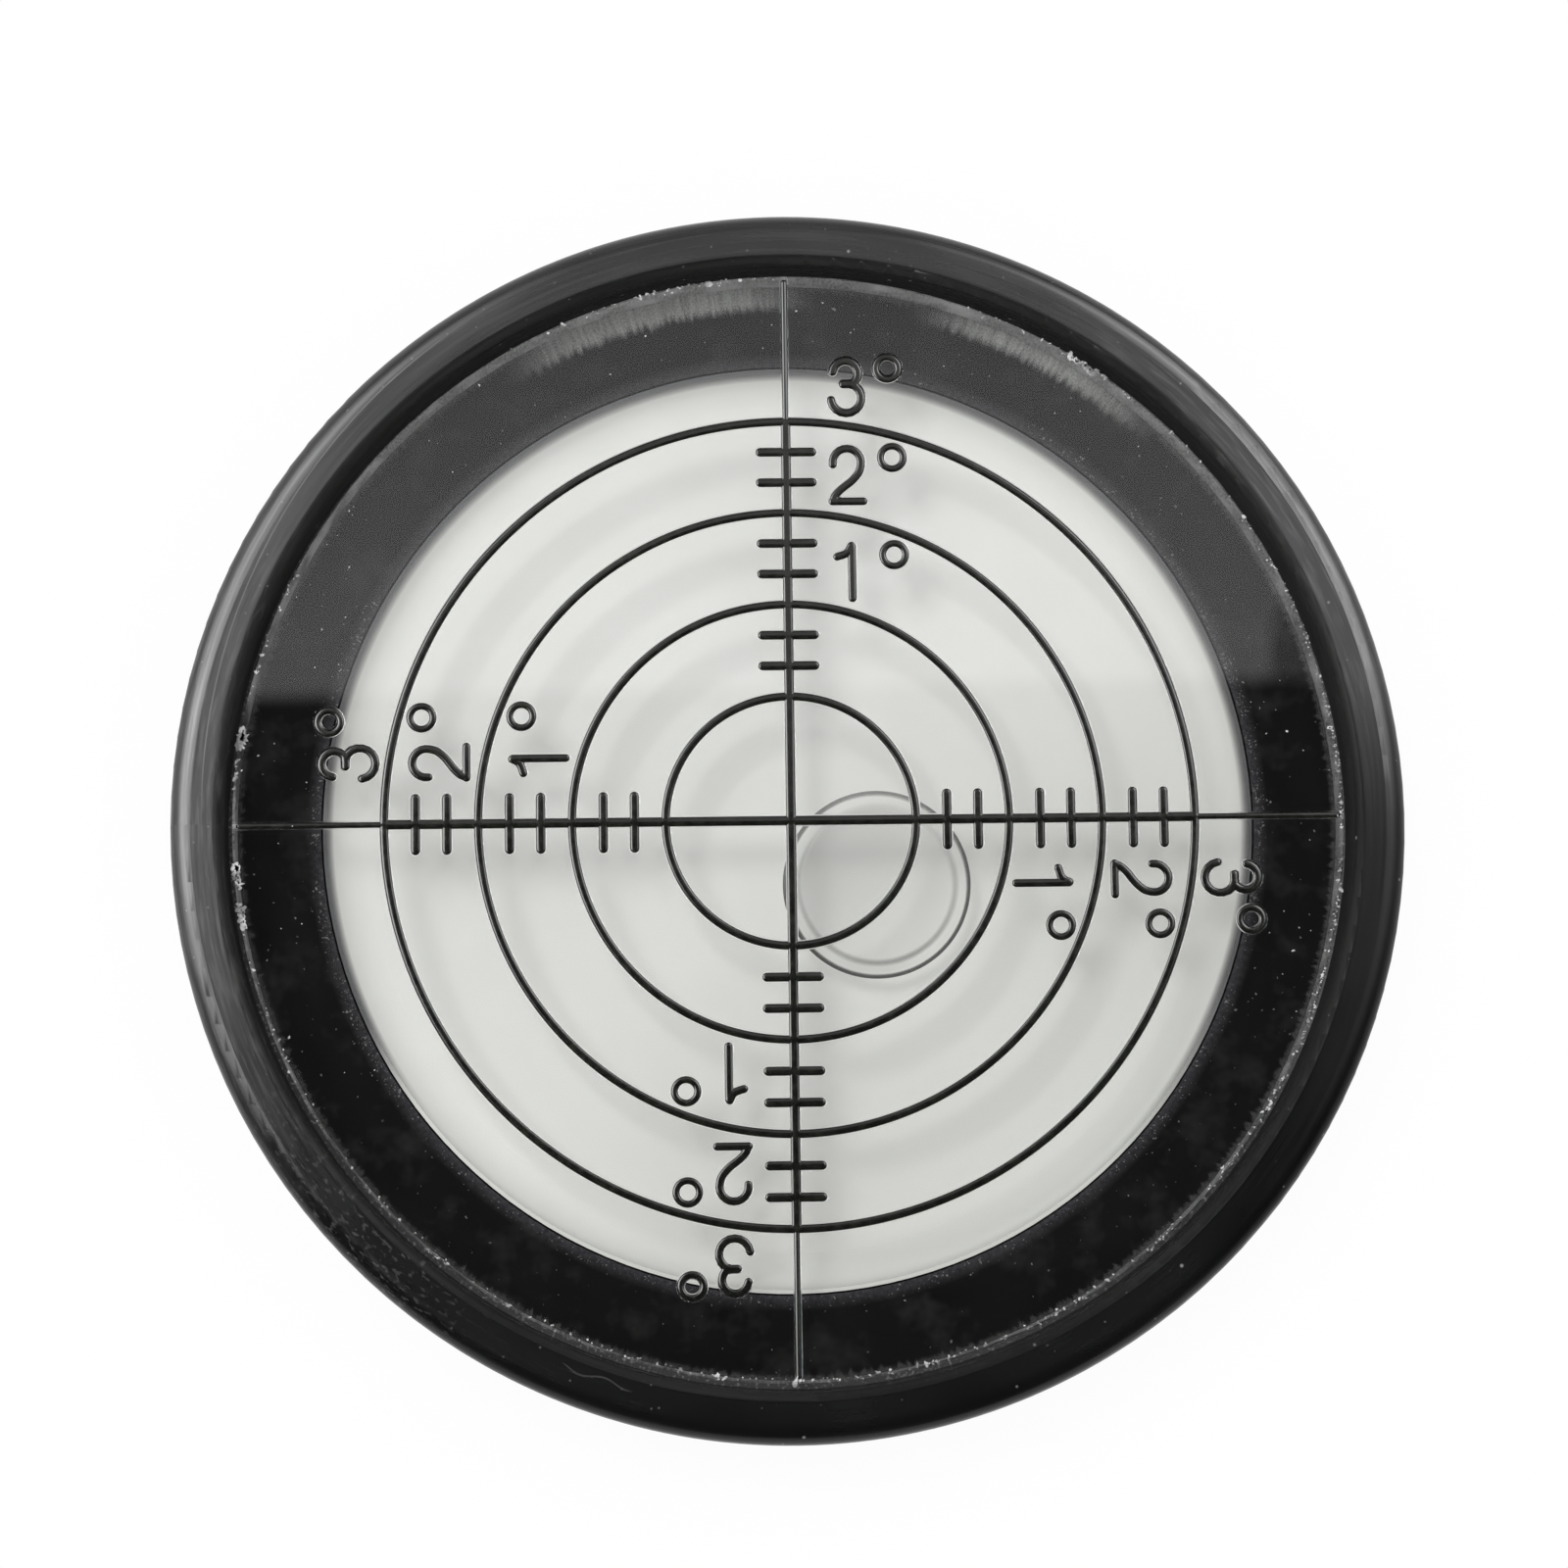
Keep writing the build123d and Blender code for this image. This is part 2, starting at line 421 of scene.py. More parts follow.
def build_lens(clear, on_liquid, on_cement, edge, flank):
    """The clear lens: engraved on top, chamfered, and hollowed by the dome below."""
    points, faces = lens_face()
    following = dict(border_edges(faces))
    loop = [next(iter(following))]
    while following[loop[-1]] != loop[0]:
        loop.append(following[loop[-1]])
    rim_points = [points[i] for i in loop]
    top_faces = len(faces)
    side_top = add_ring(points, rim_points, LENS_WALL, LENS_TOP - LENS_CHAMFER)
    side_bottom = add_ring(points, rim_points, LENS_WALL, LENS_SEAT + FILM)
    join_rings(faces, loop, side_top)
    join_rings(faces, side_top, side_bottom)
    side_faces = len(faces)
    last = add_ring(points, rim_points, WELL_RADIUS, LENS_SEAT + FILM)
    join_rings(faces, side_bottom, last)
    flange_faces = len(faces)
    for k in range(1, DOME_STEPS):
        ring_radius = WELL_RADIUS * (1 - k / DOME_STEPS)
        height = DOME_CENTRE + math.sqrt(DOME_RADIUS**2 - ring_radius**2) + FILM
        ring = add_ring(points, rim_points, ring_radius, height)
        join_rings(faces, last, ring)
        last = ring
    points.append((0, 0, DOME_TOP + FILM))
    centre = len(points) - 1
    for i in range(len(last)):
        faces.append((last[i], centre, last[(i + 1) % len(last)]))
    mesh = mesh_from("lens_clear", points, faces)
    sharpen(mesh, degrees=24)
    materials = (clear, on_liquid, on_cement, edge, flank)
    for material in materials:
        mesh.materials.append(material)
    level = [abs(point[2] - LENS_TOP) < LEVEL_SNAP for point in points]
    for polygon in mesh.polygons:
        worn = clear
        if polygon.index >= flange_faces:
            worn = on_liquid
        elif polygon.index >= side_faces:
            worn = on_cement
        elif polygon.index >= top_faces:
            worn = edge
        elif not all(level[i] for i in polygon.vertices):
            worn = flank
        polygon.material_index = materials.index(worn)
    keep_flats_sharp(mesh, top_faces, LENS_TOP * MM)
    return new_object("lens_clear", mesh)


def build_ink():
    """Ink in every groove and numeral: a closed solid whose top is a low bead."""
    rings, strokes = reticle_marks(LENS_RADIUS - LENS_CHAMFER - INK_END)
    levels = [across for across, _ in INK_SECTION[1:]]
    flat, triangles = triangulate(mark_loops(rings, strokes, levels))
    heights = LENS_TOP + section_height(INK_SECTION, mark_distance(flat, rings, strokes))
    centres = np.array([flat[list(t)].mean(0) for t in triangles])
    inside = mark_distance(centres, rings, strokes) < 0.0
    kept = [t for t, k in zip(triangles, inside) if k]
    used = sorted({i for t in kept for i in t})
    number = {old: new for new, old in enumerate(used)}
    count = len(used)
    points = [(flat[i][0], flat[i][1], heights[i]) for i in used]
    points += [(flat[i][0], flat[i][1], LENS_TOP - INK_DEPTH) for i in used]
    faces = [tuple(number[i] for i in t) for t in kept]
    walls = [(b, a, a + count, b + count) for a, b in border_edges(faces)]
    below = [(c + count, b + count, a + count) for a, b, c in faces]
    mesh = mesh_from("reticle_ink_fill", points, faces + below + walls)
    sharpen(mesh, degrees=40)
    return new_object("reticle_ink_fill", mesh)


# The liquid and its bubble
AXIS_HOLE = 0.001  # what a lathed skin leaves open at its axis


def lathe(name, section, steps):
    """Turns a closed section of (radius, height) points, in millimetres, about the vertical axis."""
    points, faces = [], []
    for k in range(steps):
        a = 2 * math.pi * k / steps
        points.extend((r * math.cos(a), r * math.sin(a), z) for r, z in section)
    count = len(section)
    for k in range(steps):
        a, b = k * count, ((k + 1) % steps) * count
        for i in range(count):
            j = (i + 1) % count
            faces.append((a + i, b + i, b + j, a + j))
    return mesh_from(name, points, faces)


def bubble_section(flat_steps=4, bend_steps=18):
    """The bubble from its top middle to its bottom middle, as (radius, depth below the dome)."""
    bulge = BUBBLE_THICKNESS / 2
    flat_radius = BUBBLE_RADIUS - bulge
    flat = [flat_radius * k / flat_steps for k in range(flat_steps)]
    section = [(r, 0.0) for r in flat]
    for k in range(bend_steps + 1):
        a = math.pi / 2 - math.pi * k / bend_steps
        section.append((flat_radius + bulge * math.cos(a), bulge - bulge * math.sin(a)))
    return section + [(r, BUBBLE_THICKNESS) for r in reversed(flat)]


def build_liquid(bend_steps=8, dome_steps=10):
    """The liquid: its skin lies on the dished disc and just under the lens's dome."""
    floor = DISC_TOP - FILM
    wall = DISC_RADIUS - DISC_RIM_WALL + FILM
    bend = wall - DISC_RIM_FILLET
    section = [(AXIS_HOLE, floor), (bend / 2, floor)]
    for k in range(bend_steps + 1):
        a = math.pi / 2 * k / bend_steps
        section.append((bend + DISC_RIM_FILLET * math.sin(a), floor + DISC_RIM_FILLET * (1 - math.cos(a))))
    section.append((wall, DISC_RIM_TOP + FILM))
    section.append((LIQUID_RADIUS - FILM, DISC_RIM_TOP + FILM))
    for k in range(dome_steps + 1):
        r = (LIQUID_RADIUS - FILM) * (1 - k / dome_steps) + AXIS_HOLE
        section.append((r, DOME_CENTRE + math.sqrt(DOME_RADIUS**2 - r**2) - FILM))
    mesh = lathe("liquid_fill", section, steps=180)
    sharpen(mesh, degrees=60)
    return new_object("liquid_fill", mesh)


def build_bubble():
    """The wall of the air bubble, which floats up against the dome."""
    section = [(max(r, AXIS_HOLE), -z) for r, z in bubble_section()]
    mesh = lathe("air_bubble", section, steps=160)
    x, y = BUBBLE_PLACE
    up = Vector((x, y, math.sqrt(DOME_RADIUS**2 - x**2 - y**2)))
    place = (Vector((0, 0, DOME_CENTRE)) + up - up.normalized() * BUBBLE_FILM) * MM
    mesh.transform(Matrix.Translation(place) @ up.to_track_quat("Z", "Y").to_matrix().to_4x4())
    sharpen(mesh, degrees=60)
    return new_object("air_bubble", mesh)


# Grains and grit
def build_specks(name, places, thickness, seed):
    """Flat grains of odd outline; places are (x, y, z, size) in millimetres."""
    rng = np.random.default_rng(seed)
    points, faces = [], []
    sides = 9
    ragged = 0.4
    top_scale = 0.7
    for x, y, z, size in places:
        start = len(points)
        turn = rng.uniform(0, 2 * math.pi)
        stretch = rng.uniform(1.0, 1.9)
        reaches = size / 2 * (1 + ragged * rng.uniform(-1.0, 1.0, sides))
        for level, scale in ((0.0, 1.0), (thickness, top_scale)):
            for k in range(sides):
                a = 2 * math.pi * k / sides
                u = reaches[k] * scale * math.cos(a) * stretch
                v = reaches[k] * scale * math.sin(a)
                points.append((x + u * math.cos(turn) - v * math.sin(turn),
                               y + u * math.sin(turn) + v * math.cos(turn), z + level))
        for k in range(sides):
            j = (k + 1) % sides
            faces.append((start + k, start + j, start + sides + j, start + sides + k))
        faces.append(tuple(start + sides + k for k in range(sides)))
        faces.append(tuple(start + sides - 1 - k for k in range(sides)))
    return new_object(name, mesh_from(name, points, faces))


def grain_size(rng, log_size, log_spread, smallest, largest):
    """A grain's size in millimetres, drawn about the usual one and held between two limits."""
    return float(np.clip(rng.lognormal(log_size, log_spread), smallest, largest))


def ledge_specks():
    """Where the pale grains lie under the lens: thick along the ledge's inner edge, sparse beyond it."""
    rng = np.random.default_rng(21)
    height = LENS_SEAT + 0.002
    places = []
    # Each part of the ledge as (first bearing, last bearing, how many), in degrees
    ledge_parts = ((-15, 35, 560), (35, 60, 120), (150, 215, 520), (215, 345, 520), (60, 150, 40))
    for first, last, count in ledge_parts:
        for _ in range(count):
            a = math.radians(rng.uniform(first, last))
            r = WELL_RADIUS + 0.06 + abs(rng.normal(0, 0.3))
            size = grain_size(rng, -3.1, 0.4, 0.02, 0.15)
            places.append((r * math.cos(a), r * math.sin(a), height, size))
    scattered = 300
    for _ in range(scattered):
        a = rng.uniform(0, 2 * math.pi)
        r = rng.uniform(WELL_RADIUS + 0.4, LENS_RADIUS - 0.4)
        size = grain_size(rng, -3.1, 0.45, 0.02, 0.18)
        places.append((r * math.cos(a), r * math.sin(a), height, size))
    return places


# Grit at the lens's edge, each clump as (bearing, spread, how many, usual size), in degrees
# and millimetres: in clumps on the -X side, and finer elsewhere
CLUMPS = [
    (171, 0.5, 34, 0.27), (174, 1.0, 12, 0.13), (185, 0.7, 30, 0.18), (189.5, 0.8, 24, 0.17),
    (164, 2.5, 12, 0.09), (196, 3.0, 14, 0.08), (205, 4.0, 16, 0.08), (155, 3.0, 12, 0.08),
    (62, 5.0, 20, 0.09), (108, 6.0, 20, 0.08), (50, 4.0, 12, 0.08), (8, 6.0, 60, 0.075),
    (22, 7.0, 60, 0.07), (-8, 6.0, 60, 0.075), (-22, 6.0, 50, 0.07), (57, 1.5, 30, 0.13),
    (100, 4.0, 40, 0.09),
]


def edge_specks():
    """Where grit and dried cement cling to the lens's chamfer, and dust lies on its face."""
    rng = np.random.default_rng(33)
    places = []
    clumps = list(CLUMPS)
    for bearing in range(220, 335, 4):
        clumps.append((bearing + rng.uniform(-2, 2), 1.6, 9, 0.08))
    slope = 0.15  # how far in from the edge the grit sinks with the chamfer
    for bearing, spread, count, usual in clumps:
        for _ in range(count):
            a = math.radians(rng.normal(bearing, spread))
            inward = float(np.clip(rng.normal(0.15, 0.09), 0.02, 0.4))
            r = LENS_RADIUS - inward
            z = LENS_TOP - 0.005 - LENS_CHAMFER * max(0.0, slope - inward) / slope
            size = float(np.clip(usual * rng.lognormal(0.0, 0.4), 0.03, 0.3))
            places.append((r * math.cos(a), r * math.sin(a), z, size))
    dust = 70
    for _ in range(dust):
        a = math.radians(rng.uniform(-30, 215))
        r = rng.uniform(WELL_RADIUS + 0.3, LENS_RADIUS - 0.6)
        size = grain_size(rng, -3.0, 0.4, 0.03, 0.12)
        places.append((r * math.cos(a), r * math.sin(a), LENS_TOP - 0.002, size))
    return places


# Help with materials
def feed(source, socket):
    """Gives a node's input its value: a Value, another node's output, a number or a colour."""
    if isinstance(source, Value):
        source = source.socket
    if isinstance(source, bpy.types.NodeSocket):
        socket.id_data.links.new(source, socket)
    else:
        socket.default_value = source


def add_node(tree, kind, inputs=None, **settings):
    """Adds a node; inputs says what feeds each input, by its name or its number."""
    made = tree.nodes.new("ShaderNode" + kind)
    for name, setting in settings.items():
        setattr(made, name, setting)
    for name, source in (inputs or {}).items():
        feed(source, made.inputs[name])
    return made


class Value:
    """A number that a node puts out, with plain maths on it."""

    def __init__(self, socket):
        self.socket = socket
        self.tree = socket.id_data

    def maths(self, operation, first, second=0.0):
        """What a maths node makes of one or two values."""
        return Value(add_node(self.tree, "Math", {0: first, 1: second}, operation=operation).outputs[0])

    def __add__(self, other):
        return self.maths("ADD", self, other)

    def __sub__(self, other):
        return self.maths("SUBTRACT", self, other)

    def __rsub__(self, other):
        return self.maths("SUBTRACT", other, self)

    def __mul__(self, other):
        return self.maths("MULTIPLY", self, other)

    def __truediv__(self, other):
        return self.maths("DIVIDE", self, other)

    def __lt__(self, other):
        return self.maths("LESS_THAN", self, other)

    def __gt__(self, other):
        return self.maths("GREATER_THAN", self, other)

    def __abs__(self):
        return self.maths("ABSOLUTE", self)

    def remap(self, low, high, start=0.0, end=1.0, shape="LINEAR"):
        """The value carried from one range to another, and held inside it."""
        limits = {"Value": self, "From Min": low, "From Max": high, "To Min": start, "To Max": end}
        return Value(add_node(self.tree, "MapRange", limits, interpolation_type=shape).outputs[0])

    def spread(self, start, end):
        """A noise's usual range carried to another."""
        return self.remap(0.3, 0.7, start, end)

    def band(self, low, high, soft):
        """1 where the value lies between two limits, falling to 0 over a soft edge."""
        rise = self.remap(low - soft, low + soft, 0.0, 1.0, "SMOOTHSTEP")
        fall = self.remap(high - soft, high + soft, 1.0, 0.0, "SMOOTHSTEP")
        return rise * fall


def largest(first, *others):
    """The largest of some values."""
    for other in others:
        first = first.maths("MAXIMUM", first, other)
    return first


class Place:
    """Where a point of the object lies, in metres: along the axes, and round the upright one."""

    def __init__(self, tree, centre=None):
        self.tree = tree
        self.point = add_node(tree, "TexCoord").outputs["Object"]
        if centre:
            sides = {0: self.point, 1: centre}
            self.point = add_node(tree, "VectorMath", sides, operation="SUBTRACT").outputs[0]
        parts = add_node(tree, "SeparateXYZ", {0: self.point}).outputs
        self.x, self.y, self.z = (Value(part) for part in parts)
        level = add_node(tree, "CombineXYZ", {"X": self.x, "Y": self.y}).outputs[0]
        self.radius = Value(add_node(tree, "VectorMath", {0: level}, operation="LENGTH").outputs["Value"])
        self.angle = self.y.maths("ARCTAN2", self.y, self.x)

    def noise(self, scale, detail, **more):
        """Plain noise."""
        sockets = {"Vector": self.point, "Scale": scale, "Detail": detail, **more}
        return Value(add_node(self.tree, "TexNoise", sockets).outputs["Fac"])

    def drawn_noise(self, outward, across, along, detail=2.0, seed=0.0):
        """Noise drawn out round the axis: across and along are its cells a metre out and a radian round."""
        laid = {"X": outward * across, "Y": self.angle * along, "Z": seed}
        vector = add_node(self.tree, "CombineXYZ", laid).outputs[0]
        sockets = {"Vector": vector, "Scale": 1.0, "Detail": detail}
        return Value(add_node(self.tree, "TexNoise", sockets).outputs["Fac"])

    def dots(self, scale, size, share, seed):
        """Sparse round dots: 1 in the dots and 0 elsewhere."""
        aside = (seed, seed * 0.7, 0.0)
        moved = add_node(self.tree, "VectorMath", {0: self.point, 1: aside}, operation="ADD").outputs[0]
        cells = add_node(self.tree, "TexVoronoi", {"Vector": moved, "Scale": scale}).outputs
        lot = Value(add_node(self.tree, "SeparateColor", {0: cells["Color"]}).outputs["Red"])
        return (lot < share) * Value(cells["Distance"]).remap(size * 0.5, size, 1.0, 0.0)


def mix_colour(factor, first, second):
    """Two colours mixed by a factor."""
    return add_node(factor.tree, "Mix", {0: factor, 6: first, 7: second}, data_type="RGBA").outputs[2]


def mix_shaders(factor, first, second):
    """Two shaders mixed by a factor."""
    return add_node(factor.tree, "MixShader", {0: factor, 1: first.outputs[0], 2: second.outputs[0]})


def grey(shade):
    """A neutral colour."""
    return (shade, shade, shade, 1)


def plastic(tree, colour, roughness, **more):
    """A shader with a plastic's refraction; more sets other inputs, with _ for a space."""
    inputs = {"Base Color": colour, "Roughness": roughness, "IOR": 1.5}
    inputs.update((name.replace("_", " "), value) for name, value in more.items())
    return add_node(tree, "BsdfPrincipled", inputs)


def bump(height, distance, strength):
    """The normal that a height gives."""
    sockets = {"Height": height, "Distance": distance, "Strength": strength}
    return add_node(height.tree, "Bump", sockets).outputs[0]


def new_material(name):
    """An empty material, and its node tree."""
    material = bpy.data.materials.new(name)
    material.use_nodes = True
    material.node_tree.nodes.clear()
    return material, material.node_tree


def finished(material, shader):
    """A material with its surface set."""
    add_node(material.node_tree, "OutputMaterial", {"Surface": shader.outputs[0]})
    return material


def set_material(piece, material):
    """Puts a material on the whole of a piece."""
    piece.data.materials.clear()
    piece.data.materials.append(material)


# Materials. Zones round the axis are (first angle, last angle, soft edge), in radians.
def clear_material(name, roughness=0.0):
    """A clear solid that bends light."""
    material, tree = new_material(name)
    return finished(material, plastic(tree, grey(1), roughness, Transmission_Weight=1.0))


def seen_through(name, tint):
    """A face between two clear stuffs that hardly bends light, with a faint tint."""
    material, tree = new_material(name)
    return finished(material, add_node(tree, "BsdfTransparent", {"Color": tint}))


def bubble_material():
    """The wall between liquid and air, tinted with painted shade: a dark line at the rim, a softer one
    inside it, and a darker inside towards -X+Y.
    """
    material, tree = new_material("bubble_wall_painted_shade")
    at = Place(tree, (BUBBLE_PLACE[0] * MM, BUBBLE_PLACE[1] * MM, 0.0))
    # The dark lines and the darker inside are painted shade that stands for the bubble's refraction.
    turn = at.angle.maths("COSINE", at.angle - math.radians(100))
    rim = at.radius.band(4.88 * MM, 5.3 * MM, 0.06 * MM) * turn.remap(-0.3, 1.0, 0.6, 0.38)
    inner = at.radius.band(4.1 * MM, 4.36 * MM, 0.12 * MM) * turn.remap(-1.0, 0.9, 0.28, 0.06)
    painted_lean_shade = (at.y - at.x).remap(-5 * MM, 5 * MM, 0.0, 0.1)
    shade = at.radius.band(-1 * MM, 4.2 * MM, 0.2 * MM) * painted_lean_shade
    clear = 1.0 - largest(rim, inner, shade)
    tint = add_node(tree, "CombineColor", {"Red": clear, "Green": clear, "Blue": clear}).outputs[0]
    return finished(material, add_node(tree, "BsdfTransparent", {"Color": tint}))


def housing_wear_and_sheen(at, along, streaks):
    """How grey the black housing is: dust, a fibre, scuffs, a fine line, the bore's wall, and brushing on
    two sides that is partly painted sheen.
    """
    dust = at.dots(scale=900.0, size=0.11, share=0.13, seed=0.031)
    fine_dust = at.dots(scale=2600.0, size=0.2, share=0.06, seed=0.017)
    scuffed = (-2.62, -2.2, 0.12)
    scuffs = at.angle.band(*scuffed) * at.drawn_noise(along, 4200.0, 60.0, seed=8.0).remap(0.56, 0.72)
    scuffs = scuffs * at.z.remap((HOUSING_TOP - 3.0) * MM, (HOUSING_TOP - 1.0) * MM)
    # The fine line drifts in across the rim as it goes round.
    lined = (2.2, 3.1, 0.12)
    line_start, line_drift = 33.66 * MM, -0.785 * MM
    off_line = abs(at.radius - (at.angle * line_drift + line_start))
    line = off_line.remap(0.02 * MM, 0.05 * MM, 1.0, 0.0) * at.angle.band(*lined)
    # The fibre lies on the rim in waves.
    fibre_zone = (-1.975, -1.86, 0.01)
    fibre_radius, fibre_waves, wave_height = 31.1 * MM, 75.0, 0.14 * MM
    wave = at.angle.maths("SINE", at.angle * fibre_waves) * wave_height
    off_fibre = abs(at.radius + wave - fibre_radius)
    fibre = off_fibre.remap(0.02 * MM, 0.06 * MM, 1.0, 0.0) * at.angle.band(*fibre_zone)
    # Grey brushing streaks on the +X+Y and -X sides only: partly brushing marks, partly painted sheen.
    brushing_and_sheen_right, brushing_and_sheen_left = (0.2, 1.0, 0.2), (2.6, 3.5, 0.2)
    brushing_and_sheen = largest(at.angle.band(*brushing_and_sheen_right), abs(at.angle).band(*brushing_and_sheen_left))
    brushing_and_sheen = brushing_and_sheen * at.drawn_noise(along, 4600.0, 11.0, seed=9.0).remap(0.48, 0.72, 0.0, 0.22)
    bore = at.radius.remap((BORE_RADIUS + 0.2) * MM, (BORE_RADIUS + 0.45) * MM, 1.0, 0.0)
    bore = bore * (at.z > LENS_SEAT * MM)
    return largest(dust, fine_dust * 0.4, fibre * 0.2, scuffs * 0.35, line * 0.5, brushing_and_sheen,
                   bore * streaks.spread(0.06, 0.13))


def satin_black(at, along, patches):
    """The housing where it is open to the air: turned streaks, wear and painted sheen, glossiest at the +Y
    side.
    """
    streaks = at.drawn_noise(along, 5200.0, 3.0, detail=3.0)
    worn = housing_wear_and_sheen(at, along, streaks)
    colour = mix_colour(worn, (0.0036, 0.0037, 0.0038, 1), (0.2, 0.2, 0.195, 1))
    upper = at.y.remap(-22 * MM, -4 * MM)
    handled = upper * abs(at.x).remap(10 * MM, 27 * MM)
    roughness = streaks.spread(-0.08, 0.08) * (upper * 0.8 + 0.2) + patches.spread(0.22, 0.29)
    roughness = roughness + handled * 0.13
    dull_zone = (-0.8, 0.12, 0.2)
    gloss = (upper * 0.24 + 0.26) * at.angle.band(*dull_zone).remap(0.0, 1.0, 1.0, 0.32)
    gloss = gloss * at.radius.remap((BORE_RADIUS + 0.25) * MM, (BORE_RADIUS + 0.55) * MM, 0.06, 1.0)
    normal = bump(streaks, 0.01 * MM, 0.5)
    return plastic(at.tree, colour, roughness, Specular_IOR_Level=gloss, Normal=normal)


def matt_black(at, patches):
    """The housing's ledge under the lens: mottled, with painted light along its inner edge."""
    mottle = mix_colour(patches, (0.003, 0.003, 0.0032, 1), (0.009, 0.0093, 0.009, 1))
    clouds = at.noise(330.0, 3.0, Roughness=0.65).remap(0.5, 0.75)
    mottle = mix_colour(clouds, mottle, (0.022, 0.022, 0.0215, 1))
    grain = at.drawn_noise(at.radius, 4000.0, 110.0, seed=12.0)
    # Painted light: the ledge is paler and faintly violet along its inner edge.
    painted_edge_glow = at.radius.remap(WELL_RADIUS * MM, (WELL_RADIUS + 0.8) * MM, 1.0, 0.0)
    colour = mix_colour(painted_edge_glow * grain.spread(0.4, 1.0), mottle, (0.06, 0.058, 0.064, 1))
    return plastic(at.tree, colour, 1.0, Specular_IOR_Level=0.0)


def black_plastic():
    """Black moulded plastic: satin in the open, and matt under the lens."""
    material, tree = new_material("black_moulding")
    at = Place(tree)
    along = at.radius - at.z
    patches = at.drawn_noise(along, 500.0, 5.0, detail=1.0, seed=4.0)
    under_lens = (at.radius < (LENS_RADIUS + 0.05) * MM) * (at.z < (LENS_SEAT + 0.1) * MM)
    satin = satin_black(at, along, patches)
    return finished(material, mix_shaders(under_lens, satin, matt_black(at, patches)))


def cemented_face():
    """The lens's underside on the ledge: clear, with hazy streaks where the cement let go."""
    material, tree = new_material("acrylic_on_cement")
    at = Place(tree)
    drawn = at.drawn_noise(at.radius, 250.0, 130.0, seed=1.0)
    grain = at.drawn_noise(at.radius, 9000.0, 270.0, detail=1.0, seed=6.0)
    ragged = at.drawn_noise(at.radius, 100.0, 90.0, seed=2.0).spread(-0.2 * MM, 0.2 * MM)
    inner = at.radius + ragged
    past_edge = 31 * MM
    left = at.angle.band(1.58, 2.05, 0.09) * inner.band(28.6 * MM, past_edge, 0.35 * MM)
    right = at.angle.band(0.88, 1.25, 0.09) * inner.band(28.9 * MM, past_edge, 0.35 * MM)
    rest = inner.band(29.55 * MM, past_edge, 0.15 * MM) * 0.2
    haze = largest(left, right, rest) * (drawn.spread(0.6, 1.0) * grain.remap(0.35, 0.75, 0.75, 1.3))
    milky = plastic(tree, (0.33, 0.34, 0.325, 1), 0.9, Specular_IOR_Level=0.0)
    return finished(material, mix_shaders(haze, add_node(tree, "BsdfTransparent"), milky))


def cement_material():
    """Grey cement, paler on the +X side, with specks in it."""
    material, tree = new_material("cement_fill")
    at = Place(tree)
    grain = at.drawn_noise(at.radius, 6000.0, 150.0, detail=4.0, seed=9.0).remap(0.55, 0.75, 0.0, 0.7)
    pale_zone = (-0.5, 0.75, 0.25)
    base = mix_colour(at.angle.band(*pale_zone), grey(0.04), (0.12, 0.122, 0.12, 1))
    return finished(material, plastic(tree, mix_colour(grain, base, grey(0.4)), 0.6))


def ground_edge_painted_glints():
    """The lens's edge: roughly ground and grey, with pale flecks and patches painted in as glints, and
    darker where it is torn.
    """
    material, tree = new_material("ground_edge_painted_glints")
    at = Place(tree)
    across = at.radius + at.z * 0.25
    grain = at.drawn_noise(across, 5000.0, 240.0, detail=4.0, seed=3.0)
    slow = at.drawn_noise(across, 900.0, 14.0, detail=3.0, seed=5.0)
    # Painted glints: the pale flecks here and the pale patches below.
    colour = mix_colour(grain.remap(0.35, 0.65), grey(0.07), (0.42, 0.43, 0.42, 1))
    torn_zone = (2.5, 3.02, 0.1)
    torn = at.angle.band(*torn_zone) * slow.remap(0.35, 0.55, 0.9, 0.3)
    colour = mix_colour(torn, colour, grey(0.02))
    colour = mix_colour(slow.remap(0.45, 0.75), colour, grey(0.6))
    return finished(material, plastic(tree, colour, 0.35, Normal=bump(grain, 0.03 * MM, 0.8)))


def white_plastic():
    """The white disc under the liquid: mottled, with painted shade darker towards +X-Y, and a painted
    shadow on its rim except towards -Y.
    """
    material, tree = new_material("white_disc")
    at = Place(tree)
    mottle = at.noise(220.0, 3.0).spread(0.0, 1.0)
    white = mix_colour(mottle, (0.81, 0.815, 0.79, 1), (0.84, 0.845, 0.825, 1))
    # Painted shade: the disc darkens towards +X-Y.
    white = mix_colour((at.x - at.y).remap(-5 * MM, 30 * MM), white, (0.74, 0.745, 0.72, 1))
    # Painted shadow of the ledge on the disc's rim, faint towards -Y.
    rim = at.radius.remap((DISC_RADIUS - 0.5) * MM, (DISC_RADIUS - 0.2) * MM)
    around = largest(at.angle.band(-0.6, 3.3, 0.3), at.angle.band(-3.3, -2.6, 0.15))
    colour = mix_colour(rim * (around * 0.82 + 0.1), white, (0.05, 0.05, 0.06, 1))
    return finished(material, plastic(tree, colour, 0.5))


def grain_material(name, darkest, palest):
    """Grit in many greys."""
    material, tree = new_material(name)
    shade = Place(tree).noise(1400.0, 1.0).remap(0.35, 0.65)
    return finished(material, plastic(tree, mix_colour(shade, grey(darkest), grey(palest)), 0.7))


def ink_material():
    """Dark paint with a gloss."""
    material, tree = new_material("reticle_paint")
    grain = Place(tree).noise(2500.0, 3.0)
    colour = mix_colour(grain.remap(0.35, 0.7), (0.004, 0.0045, 0.0035, 1), (0.01, 0.011, 0.008, 1))
    return finished(material, plastic(tree, colour, grain.spread(0.14, 0.24), Specular_IOR_Level=0.38))


